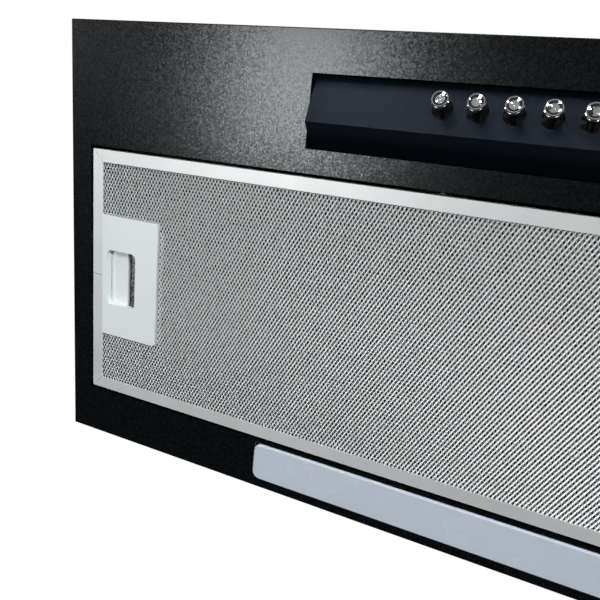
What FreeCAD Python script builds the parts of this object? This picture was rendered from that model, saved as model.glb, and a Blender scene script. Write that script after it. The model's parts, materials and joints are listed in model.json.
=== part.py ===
import FreeCAD, Part
import math
import os
import re
import Sketcher

# Under-cabinet range hood, 60 cm class, millimetres.
# +Z is up and the front faces -Y.  The origin is the centre of the top face, the face that is screwed
# up against the cabinet.  Expressions below are written in the words of the Dims sheet.

DIMENSIONS = (
    # casing
    ("body_width", 600, "outside width"),
    ("body_depth", 308, "outside depth"),
    ("body_height", 140, "top face to underside"),
    ("gauge", 1, "sheet steel thickness"),
    ("rim_height", 14, "upturned rim of the underside panel"),
    ("fold", 12, "turned-down edge of the top plate"),
    ("cabinet_holes_across", 540, "cabinet screw spacing, left to right"),
    ("cabinet_holes_deep", 220, "cabinet screw spacing, front to back"),
    ("cabinet_hole", 6, "cabinet screw hole diameter"),
    ("bead_width", 7, "stiffening bead in a flat sheet"),
    ("bead_depth", 0.4, "stiffening bead depth"),
    ("bead_reach", 220, "stiffening bead, left to right"),
    ("bead_count", 3, "stiffening beads, one above another"),
    ("knockout_radius", 50, "rear duct knock-out"),
    ("bar_edge", 4, "upturned edge round the bar's opening"),
    ("rest_length", 100, "filter rest, left to right"),
    ("rest_place", 205, "filter rest, left or right of the middle"),
    ("rest_reach", 6, "filter rest shelf, from the opening's edge"),
    ("rest_gap", 0.4, "filter to its rests"),
    # grease filter
    ("filter_length", 561, "frame, left to right"),
    ("filter_depth", 183.6, "frame, front to back"),
    ("filter_thick", 9, "frame thickness"),
    ("filter_middle", 22.6, "frame centre behind the origin"),
    ("filter_gap", 2.4, "gap all round in the panel opening"),
    ("frame_face", 8.6, "visible width of the frame channel"),
    ("frame_wall", 0.8, "aluminium channel thickness"),
    ("frame_seam", 0.4, "butt gap where the channel closes"),
    ("mesh_thick", 0.6, "mesh sheet"),
    ("core_thick", 0.8, "inner filter layer"),
    ("keeper_height", 4.4, "upturned edge round the filter opening"),
    ("mitre_width", 0.3, "corner line scored in the frame's face"),
    ("mitre_depth", 0.35, "corner line depth"),
    # filter handle and latch
    ("handle_length", 91.5, "handle plate, front to back"),
    ("handle_width", 48.7, "handle plate, left to right"),
    ("handle_plate", 4.8, "plate thickness"),
    ("handle_proud", 0.4, "plate face below the frame face"),
    ("handle_wall", 1.6, "latch chamber wall"),
    ("chamber_height", 3, "latch chamber above the plate"),
    ("slot_length", 41.6, "finger slot, front to back"),
    ("slot_width", 25.6, "finger slot, left to right"),
    ("slot_inset", 4.5, "slot edge from the plate's left edge"),
    ("slot_round", 4, "finger slot corner radius"),
    ("chamber_shorter", 6, "latch chamber shorter than the plate"),
    ("chamber_narrower", 2, "latch chamber narrower than the plate"),
    ("latch_thick", 1.6, "latch slide"),
    ("latch_length", 62, "latch slide, front to back"),
    ("latch_start", 3.6, "latch slide's left edge from the handle's"),
    ("latch_end", 20, "latch lip's right edge from the handle's left edge"),
    ("tongue_reach", 6.4, "latch tongue beyond the frame"),
    ("tongue_width", 10, "latch tongue"),
    ("tongue_spread", 50, "distance between the two tongues"),
    # control bar and push buttons
    ("control_length", 233.6, "panel opening, left to right"),
    ("control_depth", 43.4, "panel opening, front to back"),
    ("control_setback", 24.4, "front edge to the opening"),
    ("control_gap", 0.4, "bar to opening edge"),
    ("face_tilt", 23.4, "button face against the underside, degrees"),
    ("face_recess", 5.4, "front edge of the button face above the underside"),
    ("ridge_setback", 27.2, "ridge behind the bar's front edge"),
    ("bar_rise", 8.6, "bar wall above its front edge"),
    ("bar_wall", 1.6, "bar wall thickness"),
    ("rear_rise", 1.2, "rear edge of the bar above its front edge"),
    ("button_count", 5, "push buttons"),
    ("button_pitch", 18.8, "push button spacing"),
    ("button_row", 15.2, "button row from the front edge, along the face"),
    ("button_hole", 11.8, "hole in the bar"),
    ("cap_diameter", 10, "button cap"),
    ("cap_thick", 2.9, "button cap, from its stem to its rim"),
    ("cap_dish", 0.8, "hollow in the button cap"),
    ("cap_height", 12.4, "button cap top above the face"),
    ("stem_diameter", 5.8, "button stem"),
    ("stem_depth", 17, "button stem end behind the face"),
    ("running_fit", 0.05, "radial clearance of a sliding or turning fit"),
    ("switch_top", 6.5, "switch block behind the face"),
    ("switch_depth", 23.5, "switch block height"),
    ("switch_width", 18, "switch block across the bar"),
    # light
    ("light_length", 266.8, "lens, left to right"),
    ("light_width", 27.6, "lens, front to back"),
    ("light_middle", 133, "lens centre behind the origin"),
    ("light_round", 6, "lens corner radius"),
    ("light_proud", 1.5, "lens below the underside"),
    ("light_height", 12, "lens height"),
    ("light_wall", 2, "lens thickness"),
    ("lens_gap", 0.3, "lens to the edge of its window"),
    ("tray_gap", 0.2, "lens to the lamp tray, front and back"),
    ("lamp_height", 21, "lamp tray height"),
    ("board_margin", 8, "lamp board end to the lens end"),
    ("board_width", 16, "lamp board, front to back"),
    ("board_thick", 1.6, "lamp board"),
    ("chip_count", 12, "light-emitting chips"),
    ("chip_pitch", 20, "chip spacing"),
    ("chip_length", 3.5, "chip, left to right"),
    ("chip_width", 2.8, "chip, front to back"),
    ("chip_thick", 0.8, "chip"),
    ("driver_length", 40, "lamp driver, left to right"),
    ("driver_depth", 80, "lamp driver, front to back"),
    ("driver_height", 24, "lamp driver"),
    # blower
    ("blower_left", 95, "impeller axis left of the origin"),
    ("blower_front", 8, "impeller axis in front of the origin"),
    ("scroll_start", 93, "scroll radius at the tongue"),
    ("scroll_step", 9, "scroll radius gained each quarter turn"),
    ("scroll_wall", 2, "scroll thickness"),
    ("scroll_roof", 3, "scroll roof below the top face"),
    ("scroll_floor", 89, "scroll floor below the top face"),
    ("outlet_reach", 125, "scroll outlet right of the impeller axis"),
    ("outlet_near", 45, "scroll outlet, near wall behind the impeller axis"),
    ("wheel_radius", 84, "impeller outside radius"),
    ("blade_inner", 70, "impeller blade inner radius"),
    ("blade_count", 36, "impeller blades"),
    ("blade_thick", 1.2, "impeller blade thickness"),
    ("blade_sweep", 7, "forward curve of a blade, degrees"),
    ("wheel_top", 13, "impeller's upper face below the top face"),
    ("wheel_low", 84, "impeller's lower face below the top face"),
    ("wheel_skin", 2, "impeller bowl thickness"),
    ("bowl_low", 71, "impeller bowl's floor below the top face"),
    ("bowl_radius", 50, "impeller bowl's floor radius"),
    ("hub_radius", 9, "impeller hub"),
    ("hub_low", 76, "impeller hub's lower end below the top face"),
    ("hub_height", 12, "impeller hub height"),
    ("ring_width", 8, "impeller end ring"),
    ("ring_height", 3, "impeller end ring height"),
    ("inlet_radius", 69, "inlet throat radius"),
    ("inlet_flange", 16, "inlet ring flange beyond the throat"),
    ("inlet_plate", 2, "inlet ring flange thickness"),
    ("inlet_rise", 4.5, "inlet lip above the scroll's floor"),
    ("shaft_radius", 4, "motor shaft"),
    ("shaft_top", 10, "motor shaft's upper end below the top face"),
    ("motor_radius", 42, "motor housing"),
    ("motor_wall", 2, "motor housing thickness"),
    ("motor_top", 9, "motor housing's upper face below the top face"),
    ("motor_split", 32, "joint between the motor's halves below the top face"),
    ("motor_low", 62, "motor housing's lower face below the top face"),
    ("motor_hole", 6, "hole for the shaft in the motor housing"),
    ("bearing_radius", 11, "ball bearing"),
    ("bearing_thick", 7, "ball bearing"),
    ("bearing_seat", 8, "bearing seat depth"),
    ("stator_bore", 24, "stator bore radius"),
    ("stator_top", 26, "stator's upper face below the top face"),
    ("stator_height", 20, "stator stack"),
    ("rotor_gap", 0.6, "rotor to stator"),
    ("winding_inner", 26, "winding inside radius"),
    ("winding_outer", 37, "winding outside radius"),
    ("winding_height", 5, "winding beyond the stator stack"),
    ("mount_circle", 30, "motor mounts from the motor's axis"),
    ("mount_radius", 6, "rubber motor mount"),
    ("nut_corner", 7.5, "impeller nut, axis to corner"),
    ("nut_height", 5, "impeller nut"),
    ("capacitor_radius", 16, "motor run capacitor"),
    ("capacitor_length", 58, "motor run capacitor"),
    ("capacitor_drop", 22, "capacitor axis below the top face"),
    ("strap_length", 40, "capacitor strap, left to right"),
    ("strap_width", 12, "capacitor strap, front to back"),
    ("pad_radius", 7, "rubber pad between the scroll and the top plate"),
    # outlet
    ("collar_outer", 59.5, "duct collar outside radius"),
    ("collar_wall", 2, "duct collar wall"),
    ("collar_height", 35, "duct collar above the top face"),
    ("collar_left", 97.5, "duct collar axis right of the origin"),
    ("collar_back", 55, "duct collar axis behind the origin"),
    ("collar_below", 5, "duct collar below the top face"),
    ("collar_flange", 12, "duct collar flange beyond its outside"),
    ("flange_thick", 2.5, "duct collar flange"),
    ("seat_level", 5.9, "underside of the lip that the flaps close on"),
    ("seat_thick", 1.5, "flap lip"),
    ("seat_width", 4, "flap lip inward of the bore"),
    ("plenum_length", 135, "outlet box, left to right"),
    ("plenum_depth", 130, "outlet box, front to back"),
    ("flap_spread", 3.4, "flap pin from the collar's middle"),
    ("flap_lift", 10.5, "flap pin above the top face"),
    ("flap_pin", 1.25, "flap pin radius"),
    ("flap_level", 7.7, "flap's underside above the top face"),
    ("flap_thick", 1.4, "flap"),
    ("flap_barrel", 2.4, "flap barrel radius"),
    ("barrel_length", 100, "flap barrel"),
    # mains connection
    ("gland_left", 240, "cable gland right of the origin"),
    ("gland_back", 110, "cable gland behind the origin"),
    ("gland_bore", 4.5, "cable gland bore radius"),
    ("gland_barrel", 9, "cable gland barrel radius"),
    ("gland_nut", 13, "cable gland lock nut radius"),
    ("gland_flange", 14, "cable gland flange radius"),
    ("gland_cap", 11.5, "cable gland cap radius"),
    ("cable_hole", 9.4, "hole for the gland in sheet steel, radius"),
    ("junction_length", 70, "junction box, left to right"),
    ("junction_depth", 54, "junction box, front to back"),
    ("junction_low", 42, "junction box's lower edge below the top face"),
    ("junction_wall", 2, "junction box and lid thickness"),
    ("terminal_length", 24, "terminal block, left to right"),
    ("terminal_depth", 34, "terminal block, front to back"),
    ("terminal_height", 14, "terminal block"),
    ("terminal_pitch", 10, "terminal spacing"),
)

doc = FreeCAD.newDocument("range_hood")
sheet = doc.addObject("Spreadsheet::Sheet", "Dims")
for row, (alias, number, meaning) in enumerate(DIMENSIONS, start=1):
    sheet.set(f"A{row}", meaning)
    sheet.set(f"B{row}", str(number))
    sheet.setAlias(f"B{row}", alias)
doc.recompute()

ALIASES = {alias for alias, number, meaning in DIMENSIONS}
nodes = []


# ---- sheet and placement helpers -------------------------------------------------------------------

def ref(expression):
    """Put the sheet's name before each of its words in an expression."""
    def prefix(word):
        return f"Dims.{word[0]}" if word[0] in ALIASES else word[0]
    return re.sub(r"[a-z][a-z_]+", prefix, str(expression))


def value(expression):
    """The number that an expression stands for."""
    result = sheet.evalExpression(ref(expression))
    return float(getattr(result, "Value", result))


def place(obj, position=("0", "0", "0"), axis=None, angle="0"):
    """Bind an object's placement: where its own origin goes, then a turn about one axis."""
    if axis:
        turn = FreeCAD.Rotation(FreeCAD.Vector(*axis), value(angle))
        obj.Placement = FreeCAD.Placement(FreeCAD.Vector(), turn)
        obj.setExpression("Placement.Rotation.Angle", ref(angle))
    for letter, expression in zip("xyz", position):
        obj.setExpression(f"Placement.Base.{letter}", ref(expression))
    return obj


def node(obj, label):
    """Name a finished sub-part and put it on the list to be written."""
    obj.Label = label
    nodes.append(obj)
    return obj


# ---- primitives and booleans -----------------------------------------------------------------------

def box(name, low, size):
    """A block from its lowest corner and its three sizes."""
    shape = doc.addObject("Part::Box", name)
    for prop, expression in zip(("Length", "Width", "Height"), size):
        shape.setExpression(prop, ref(expression))
    return place(shape, low)


def slab(name, middle, low, high, length, width):
    """A block centred on a point of the plan, between two heights."""
    across, along = middle
    corner = (f"({across}) - ({length}) / 2", f"({along}) - ({width}) / 2", low)
    return box(name, corner, (length, width, f"({high}) - ({low})"))


TURNS = {
    "Z": (None, "0"),
    "-Z": ((1, 0, 0), "180"),
    "X": ((0, 1, 0), "90"),
    "-X": ((0, 1, 0), "-90"),
    "Y": ((1, 0, 0), "-90"),
    "-Y": ((1, 0, 0), "90"),
}


def cylinder(name, base, radius, height, direction="Z"):
    """A round bar from the centre of its first end."""
    shape = doc.addObject("Part::Cylinder", name)
    shape.setExpression("Radius", ref(radius))
    shape.setExpression("Height", ref(height))
    return place(shape, base, *TURNS[direction])


def fuse(name, *shapes):
    result = doc.addObject("Part::MultiFuse", name)
    result.Shapes = list(shapes)
    return result


def cut(name, base, *tools):
    result = doc.addObject("Part::Cut", name)
    result.Base = base
    result.Tool = tools[0] if len(tools) == 1 else fuse(f"{name}Tools", *tools)
    return result


def group(name, *shapes):
    """Separate solids that share one node."""
    result = doc.addObject("Part::Compound", name)
    result.Links = list(shapes)
    return result


def screw(name, position, direction, head="3.2", thick="1", shank="1.5", reach="8"):
    """A pan-head screw: its head stands out of the position, its shank goes the other way."""
    cap = cylinder(f"{name}Head", ("0", "0", "0"), head, thick)
    rod = cylinder(f"{name}Shank", ("0", "0", f"-({reach})"), shank, f"({reach}) + ({thick}) / 2")
    return place(fuse(name, cap, rod), position, *TURNS[direction])


# ---- bodies and sketches ---------------------------------------------------------------------------

def new_body(name):
    return doc.addObject("PartDesign::Body", name)


def origin_feature(body, role):
    return next(feature for feature in body.Origin.OriginFeatures if feature.Role == role)


def sketch_on(body, name, role="XY_Plane", offset=("0", "0", "0"), axis=None, angle="0"):
    """A sketch on one of the body's own planes, moved and turned by its attachment offset."""
    sketch = body.newObject("Sketcher::SketchObject", name)
    sketch.AttachmentSupport = (origin_feature(body, role), [""])
    sketch.MapMode = "FlatFace"
    if axis:
        turn = FreeCAD.Rotation(FreeCAD.Vector(*axis), value(angle))
        sketch.AttachmentOffset = FreeCAD.Placement(FreeCAD.Vector(), turn)
        sketch.setExpression("AttachmentOffset.Rotation.Angle", ref(angle))
    for letter, expression in zip("xyz", offset):
        sketch.setExpression(f"AttachmentOffset.Base.{letter}", ref(expression))
    return sketch


def constrain(sketch, kind, *terms, expression=None):
    """Add a constraint, bound to the sheet if it has a size."""
    if expression is not None:
        terms = terms + (value(expression),)
    index = sketch.addConstraint(Sketcher.Constraint(kind, *terms))
    if expression is not None:
        sketch.setExpression(f"Constraints[{index}]", ref(expression))
    return index


def rectangle(sketch, length, width):
    """A rectangle centred on the sketch's origin."""
    x, y = value(length) / 2, value(width) / 2
    corners = [FreeCAD.Vector(*c) for c in ((-x, -y, 0), (x, -y, 0), (x, y, 0), (-x, y, 0))]
    sides = [sketch.addGeometry(Part.LineSegment(corners[i], corners[(i + 1) % 4])) for i in range(4)]
    for i in range(4):
        constrain(sketch, "Coincident", sides[i], 2, sides[(i + 1) % 4], 1)
    constrain(sketch, "Horizontal", sides[0])
    constrain(sketch, "Vertical", sides[1])
    constrain(sketch, "Horizontal", sides[2])
    constrain(sketch, "Vertical", sides[3])
    constrain(sketch, "Symmetric", sides[0], 1, sides[2], 1, -1, 1)
    constrain(sketch, "DistanceX", sides[0], 1, sides[0], 2, expression=length)
    constrain(sketch, "DistanceY", sides[1], 1, sides[1], 2, expression=width)


def circle(sketch, radius):
    """A circle centred on the sketch's origin."""
    ring = sketch.addGeometry(Part.Circle(FreeCAD.Vector(), FreeCAD.Vector(0, 0, 1), value(radius)))
    constrain(sketch, "Coincident", ring, 3, -1, 1)
    constrain(sketch, "Radius", ring, expression=radius)


def outline(sketch, points):
    """A closed outline of straight sides, each corner held by two expressions."""
    corners = [FreeCAD.Vector(value(x), value(y), 0) for x, y in points]
    count = len(points)
    sides = [sketch.addGeometry(Part.LineSegment(corners[i], corners[(i + 1) % count])) for i in range(count)]
    for i in range(count):
        constrain(sketch, "Coincident", sides[i], 2, sides[(i + 1) % count], 1)
    for side, corner, point in zip(sides, corners, points):
        for kind, number, expression, line in (("DistanceX", corner.x, point[0], -2),
                                               ("DistanceY", corner.y, point[1], -1)):
            if abs(number) < 1e-9:
                constrain(sketch, "PointOnObject", side, 1, line)
            elif number > 0:
                constrain(sketch, kind, -1, 1, side, 1, expression=expression)
            else:
                constrain(sketch, kind, side, 1, -1, 1, expression=f"-({expression})")


def pad(body, sketch, length, symmetric=False, reverse=False):
    feature = body.newObject("PartDesign::Pad", f"{sketch.Name}Pad")
    feature.Profile = sketch
    feature.setExpression("Length", ref(length))
    feature.Midplane = symmetric
    feature.Reversed = reverse
    return feature


def pocket(body, sketch, length, symmetric=False, reverse=False):
    """Cut a sketch away; the cut goes against the sketch's normal unless it is reversed."""
    feature = body.newObject("PartDesign::Pocket", f"{sketch.Name}Pocket")
    feature.Profile = sketch
    feature.setExpression("Length", ref(length))
    feature.Midplane = symmetric
    feature.Reversed = reverse
    doc.recompute()
    assert feature.Shape.Volume < feature.BaseFeature.Shape.Volume - 0.01, f"{feature.Name} cuts nothing"
    return feature


def revolve(body, sketch, role="Z_Axis"):
    feature = body.newObject("PartDesign::Revolution", f"{sketch.Name}Turn")
    feature.Profile = sketch
    feature.ReferenceAxis = (origin_feature(body, role), [""])
    feature.Angle = 360
    return feature


def turned(name, points):
    """A body of revolution about Z from its (radius, height) outline."""
    body = new_body(name)
    outline(sketch_on(body, f"{name}Profile", "XZ_Plane"), points)
    revolve(body, doc.getObject(f"{name}Profile"))
    return body


def edges_where(shape, test):
    return [f"Edge{i}" for i, edge in enumerate(shape.Edges, start=1) if test(edge)]


def upright(edge):
    """Whether a straight edge runs along Z."""
    return (isinstance(edge.Curve, Part.Line) and abs(edge.tangentAt(edge.FirstParameter).z) > 0.999)


def soften(body, base, edges, size, kind="Fillet"):
    """Round or chamfer some edges of the body's last feature."""
    feature = body.newObject(f"PartDesign::{kind}", f"{base.Name}{kind}")
    feature.Base = (base, edges)
    feature.setExpression("Radius" if kind == "Fillet" else "Size", ref(size))
    return feature


def hollow(body, base, wall, up=True):
    """Shell a body inward and leave its top or bottom open."""
    doc.recompute()
    faces = list(enumerate(base.Shape.Faces, start=1))
    opened = max(faces, key=lambda face: face[1].CenterOfMass.z * (1 if up else -1))
    feature = body.newObject("PartDesign::Thickness", f"{base.Name}Shell")
    feature.Base = (base, [f"Face{opened[0]}"])
    feature.setExpression("Value", ref(wall))
    feature.Reversed = True
    return feature


# ---- casing ----------------------------------------------------------------------------------------

UNDERSIDE = "-body_height"
FILTER_AT = ("0", "filter_middle")
LIGHT_AT = ("0", "light_middle")
CONTROL_AT = ("0", "-body_depth / 2 + control_setback + control_depth / 2")
BLOWER_AT = ("-blower_left", "-blower_front")
COLLAR_AT = ("collar_left", "collar_back")
GLAND_AT = ("gland_left", "gland_back")
TERMINAL_AT = ("gland_left + 14", "gland_back")
DRIVER_AT = ("240", "-20")
CAPACITOR_START = ("-260", "20", "-capacitor_drop")
OPENING_LENGTH = "filter_length + 2 * filter_gap"
OPENING_DEPTH = "filter_depth + 2 * filter_gap"


def raised_edge(body, name, middle, length, width, height):
    """An upturned edge of sheet round a rectangle, standing on the underside panel."""
    offset = (*middle, "0")
    outer = sketch_on(body, f"{name}Outer", offset=offset)
    rectangle(outer, f"{length} + 2 * gauge", f"{width} + 2 * gauge")
    pad(body, outer, height)
    inner = sketch_on(body, f"{name}Inner", offset=offset)
    rectangle(inner, length, width)
    pocket(body, inner, height, reverse=True)


def underside_panel():
    """The visible pan: one sheet with folded rim and three openings with upturned edges."""
    body = place(new_body("UndersidePanel"), ("0", "0", UNDERSIDE))
    outer = sketch_on(body, "PanelRim")
    rectangle(outer, "body_width", "body_depth")
    rim = pad(body, outer, "rim_height")
    doc.recompute()
    folds = edges_where(rim.Shape, lambda edge: upright(edge) or edge.CenterOfMass.z < 0.01)
    soften(body, rim, folds, "0.7 * gauge")
    inside = sketch_on(body, "PanelInside", offset=("0", "0", "gauge"))
    rectangle(inside, "body_width - 2 * gauge", "body_depth - 2 * gauge")
    pocket(body, inside, "rim_height", reverse=True)
    raised_edge(body, "FilterEdge", FILTER_AT, OPENING_LENGTH, OPENING_DEPTH, "keeper_height")
    raised_edge(body, "ControlEdge", CONTROL_AT, "control_length", "control_depth", "bar_edge")
    window = sketch_on(body, "LightWindow", offset=(*LIGHT_AT, "0"))
    rectangle(window, "light_length + 2 * lens_gap", "light_width + 2 * lens_gap")
    pocket(body, window, "gauge * 2", reverse=True)
    return node(body, "underside_panel")


def casing_wrap():
    """Front and two sides, bent from one sheet, standing inside the panel's rim."""
    body = place(new_body("CasingWrap"), ("0", "0", f"{UNDERSIDE} + gauge"))
    outer = sketch_on(body, "WrapOuter")
    rectangle(outer, "body_width - 2 * gauge", "body_depth - 2 * gauge")
    wrap = pad(body, outer, "body_height - 2 * gauge")
    doc.recompute()
    bends = edges_where(wrap.Shape, lambda edge: upright(edge) and edge.CenterOfMass.y < 0)
    soften(body, wrap, bends, "0.7 * gauge")
    inner = sketch_on(body, "WrapInner", offset=("0", "gauge", "0"))
    rectangle(inner, "body_width - 4 * gauge", "body_depth - 2 * gauge")
    pocket(body, inner, "body_height", reverse=True)
    return node(body, "casing_wrap")


def back_plate():
    """The wall side, with forward flanges that the side screws bite into."""
    height = "body_height - 2 * gauge"
    low = f"{UNDERSIDE} + gauge"
    plate = box("BackSheet", ("-body_width / 2 + 2 * gauge", "body_depth / 2 - 2 * gauge", low),
                ("body_width - 4 * gauge", "gauge", height))
    front = "body_depth / 2 - 2 * gauge - fold"
    left = box("BackFlangeLeft", ("-body_width / 2 + 2 * gauge", front, low), ("gauge", "fold", height))
    right = box("BackFlangeRight", ("body_width / 2 - 3 * gauge", front, low), ("gauge", "fold", height))
    # the top corners of the flanges make room for the top plate's turned-down edge
    notch_size = ("3 * gauge", "fold + gauge", "fold + 2 * gauge")
    notch_low = "-gauge - fold - gauge"
    notch_front = f"{front} - gauge"
    notch_left = box("BackNotchLeft", ("-body_width / 2 + gauge", notch_front, notch_low), notch_size)
    notch_right = box("BackNotchRight", ("body_width / 2 - 4 * gauge", notch_front, notch_low), notch_size)
    whole = fuse("BackWhole", plate, left, right)
    groove_front = "body_depth / 2 - gauge - bead_depth"
    knockout_at = ("collar_left", groove_front, f"{UNDERSIDE} / 2")
    disc = cylinder("KnockoutDisc", knockout_at, "knockout_radius", "gauge", direction="Y")
    core = cylinder("KnockoutCore", knockout_at, "knockout_radius - mitre_width", "gauge", direction="Y")
    beads = []
    for i in range(int(value("bead_count"))):
        level = f"{UNDERSIDE} * {i + 1} / (bead_count + 1) - bead_width / 2"
        beads.append(box(f"BackBead{i}", ("-body_width / 4 - bead_reach / 2", groove_front, level),
                         ("bead_reach", "gauge", "bead_width")))
    ring = cut("KnockoutRing", disc, core)
    return node(cut("BackPlate", whole, notch_left, notch_right, ring, *beads), "back_plate")


def top_plate():
    """The face that meets the cabinet, with duct, cable and cabinet screw holes."""
    body = new_body("TopPlate")
    sheet_outline = sketch_on(body, "TopSheet")
    rectangle(sheet_outline, "body_width - 2 * gauge", "body_depth - 2 * gauge")
    pad(body, sheet_outline, "gauge", reverse=True)
    fold_outline = sketch_on(body, "TopFold")
    rectangle(fold_outline, "body_width - 4 * gauge", "body_depth - 4 * gauge")
    pad(body, fold_outline, "fold + gauge", reverse=True)
    fold_inside = sketch_on(body, "TopFoldInside", offset=("0", "0", "-gauge"))
    rectangle(fold_inside, "body_width - 6 * gauge", "body_depth - 6 * gauge")
    pocket(body, fold_inside, "fold + gauge")
    duct = sketch_on(body, "TopDuct", offset=(*COLLAR_AT, "0"))
    circle(duct, "collar_outer + 0.5")
    pocket(body, duct, "2 * gauge")
    cable = sketch_on(body, "TopCable", offset=(*GLAND_AT, "0"))
    circle(cable, "cable_hole")
    pocket(body, cable, "2 * gauge")
    for i, (side, end) in enumerate(((-1, -1), (1, -1), (-1, 1), (1, 1))):
        spot = (f"{side} * cabinet_holes_across / 2", f"{end} * cabinet_holes_deep / 2", "0")
        hole = sketch_on(body, f"CabinetHole{i}", offset=spot)
        circle(hole, "cabinet_hole / 2")
        pocket(body, hole, "2 * gauge")
    return node(body, "top_plate")


def casing_screws():
    """Side screws into the back plate and top plate, and rim screws round the underside panel."""
    parts = []
    side_spots = [("body_depth / 2 - 2 * gauge - fold / 2", height) for height in ("-40", "-80", "-115")]
    side_spots += [(depth, "-gauge - fold / 2") for depth in ("-100", "0", "100")]
    for side, direction in ((-1, "-X"), (1, "X")):
        for i, (depth, height) in enumerate(side_spots):
            spot = (f"{side} * (body_width / 2 - gauge)", depth, height)
            parts.append(screw(f"SideScrew{direction[-1]}{side + 1}{i}", spot, direction, reach="6"))
        for i, depth in enumerate(("-90", "30")):
            spot = (f"{side} * body_width / 2", depth, f"{UNDERSIDE} + rim_height / 2 + 1")
            parts.append(screw(f"RimScrew{side + 1}{i}", spot, direction, reach="6"))
    for i, across in enumerate(("-200", "0", "200")):
        spot = (across, "body_depth / 2", f"{UNDERSIDE} + rim_height / 2 + 1")
        parts.append(screw(f"RearScrew{i}", spot, "Y", reach="6"))
    return node(group("CasingScrews", *parts), "casing_screws")


def filter_rests():
    """Four short angles on the panel that stop the filter from going further in."""
    parts = []
    level = f"{UNDERSIDE} + filter_thick + rest_gap"
    top = f"{level} + gauge"
    for side in (-1, 1):
        for end in (-1, 1):
            name = f"Rest{side + 1}{end + 1}"
            edge = f"filter_middle + {end} * (({OPENING_DEPTH}) / 2 + gauge)"
            leg_at = (f"{side} * rest_place", f"{edge} + {end} * gauge / 2")
            leg = slab(f"{name}Leg", leg_at, f"{UNDERSIDE} + gauge", top, "rest_length", "gauge")
            shelf_at = (f"{side} * rest_place", f"{edge} - {end} * (rest_reach - gauge) / 2")
            shelf = slab(f"{name}Shelf", shelf_at, level, top, "rest_length", "rest_reach + gauge")
            parts.append(fuse(name, leg, shelf))
    return node(group("FilterRests", *parts), "filter_rests")


# ---- grease filter ---------------------------------------------------------------------------------

FILTER_LEFT = "-filter_length / 2"
HANDLE_LEFT = f"{FILTER_LEFT} + frame_face + 0.2"
MESH_LENGTH = "filter_length - 2 * frame_wall"
MESH_DEPTH = "filter_depth - 2 * frame_wall"
TONGUE_LOW = f"{UNDERSIDE} - handle_proud + handle_plate + 0.2"


def filter_frame():
    """One aluminium channel bent round the meshes and butted at the middle of the left end."""
    body = place(new_body("FilterFrame"), ("0", "filter_middle", f"{UNDERSIDE} + filter_thick / 2"))
    outer = sketch_on(body, "FrameOuter")
    rectangle(outer, "filter_length", "filter_depth")
    pad(body, outer, "filter_thick", symmetric=True)
    window = sketch_on(body, "FrameWindow")
    rectangle(window, "filter_length - 2 * frame_face", "filter_depth - 2 * frame_face")
    pocket(body, window, "filter_thick + 2", symmetric=True)
    channel = sketch_on(body, "FrameChannel")
    rectangle(channel, MESH_LENGTH, MESH_DEPTH)
    pocket(body, channel, "filter_thick - 2 * frame_wall", symmetric=True)
    seam = sketch_on(body, "FrameSeam", offset=(f"{FILTER_LEFT} + frame_face / 2", "0", "0"))
    rectangle(seam, "frame_face + 2", "frame_seam")
    pocket(body, seam, "filter_thick + 2", symmetric=True)
    for i, (side, end) in enumerate(((-1, -1), (1, -1), (-1, 1), (1, 1))):
        corner = (f"{side} * (filter_length - frame_face) / 2", f"{end} * (filter_depth - frame_face) / 2",
                  "-filter_thick / 2")
        mitre = sketch_on(body, f"FrameMitre{i}", offset=corner, axis=(0, 0, 1), angle=f"{45 * side * end}")
        rectangle(mitre, "1.5 * frame_face", "mitre_width")
        pocket(body, mitre, "2 * mitre_depth", symmetric=True)
    slot_level = f"{TONGUE_LOW} + latch_thick / 2 - ({UNDERSIDE} + filter_thick / 2)"
    for end in (-1, 1):
        middle = (FILTER_LEFT, f"{end} * tongue_spread / 2", slot_level)
        slot = sketch_on(body, f"TongueSlot{end + 1}", offset=middle)
        rectangle(slot, "4 * frame_wall", "tongue_width + 1")
        pocket(body, slot, "latch_thick + 0.6", symmetric=True)
    return node(body, "filter_frame")


def handle_void(name, low, high):
    """The rectangle that the handle needs left out of a filter layer."""
    margin = "0.4"
    length = f"handle_width + frame_face + 2 * {margin}"
    middle = (f"{FILTER_LEFT} + ({length}) / 2", "filter_middle")
    return slab(name, middle, f"({low}) - 1", f"({high}) + 1", length, f"handle_length + 2 * {margin}")


def mesh_sheet(name, low, thickness, notched):
    """A layer of the filter that fills the channel, notched round the handle if it has to be."""
    high = f"{low} + {thickness}"
    blank = slab(f"{name}Blank", FILTER_AT, low, high, f"{MESH_LENGTH} - 0.4", f"{MESH_DEPTH} - 0.4")
    return cut(name, blank, handle_void(f"{name}Notch", low, high)) if notched else blank


def filter_layers():
    """Outer mesh, three inner layers and inner mesh."""
    outer = mesh_sheet("OuterMesh", f"{UNDERSIDE} + frame_wall", "mesh_thick", True)
    node(outer, "filter_mesh_outer")
    layers = [mesh_sheet(f"Core{i}", f"{UNDERSIDE} + frame_wall + mesh_thick + 0.6 + {i} * 2 * core_thick",
                         "core_thick", True) for i in range(3)]
    node(group("FilterCore", *layers), "filter_core")
    inner_low = f"{UNDERSIDE} + filter_thick - frame_wall - mesh_thick"
    node(mesh_sheet("InnerMesh", inner_low, "mesh_thick", False), "filter_mesh_inner")


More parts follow.
